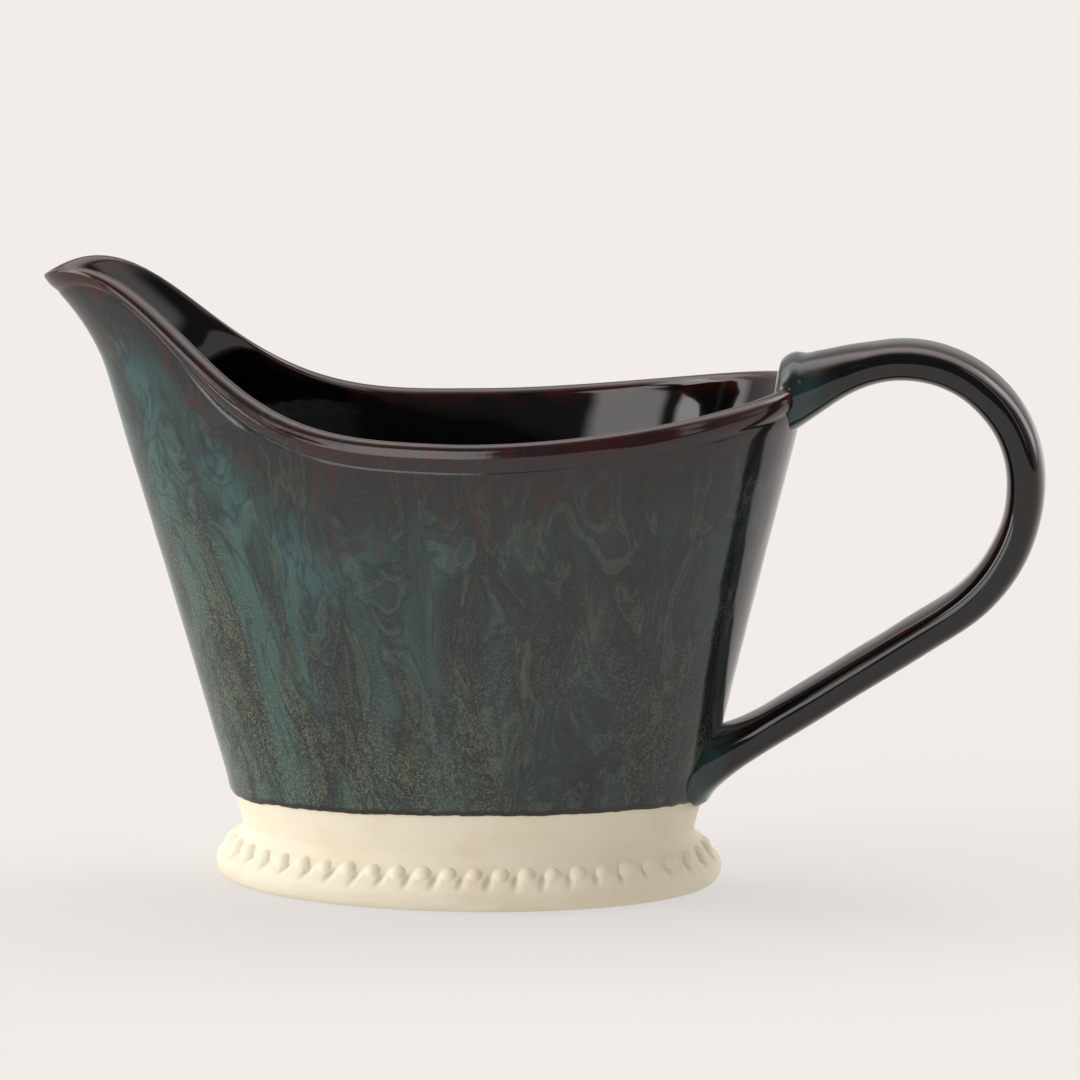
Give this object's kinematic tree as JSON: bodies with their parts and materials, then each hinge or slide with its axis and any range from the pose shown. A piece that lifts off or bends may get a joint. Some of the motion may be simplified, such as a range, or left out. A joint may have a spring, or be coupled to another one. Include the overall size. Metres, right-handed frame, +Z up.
{
  "type": "gravy boat",
  "caption": "Glazed stoneware gravy boat with a pulled spout, a strap handle and an oval foot with a pearl border",
  "frame": {"origin": "centre of the foot ring's flat underside, on the surface that the gravy boat stands on", "axes": "+X towards the handle and along the longest extent, +Y across the bowl and along the shortest extent, +Z up"},
  "size_m": [0.2354, 0.094, 0.1454],
  "materials": {
    "stoneware": "unglazed cream stoneware, matte",
    "dark_glaze": "black gloss glaze breaking to red-brown on edges",
    "liner_glaze": "black gloss liner glaze",
    "reactive_glaze": "blue-green and charcoal reactive gloss glaze with olive speckle"
  },
  "bodies": {
    "root": {"vessel": "stoneware", "foot_ring": "stoneware", "bead_border": "stoneware", "handle": "stoneware", "upper_handle_joint": "dark_glaze", "lower_handle_joint": "dark_glaze", "handle_glaze": "dark_glaze", "liner_glaze": "liner_glaze", "lip_glaze": "reactive_glaze", "outer_glaze": "reactive_glaze"}
  },
  "joints": []
}
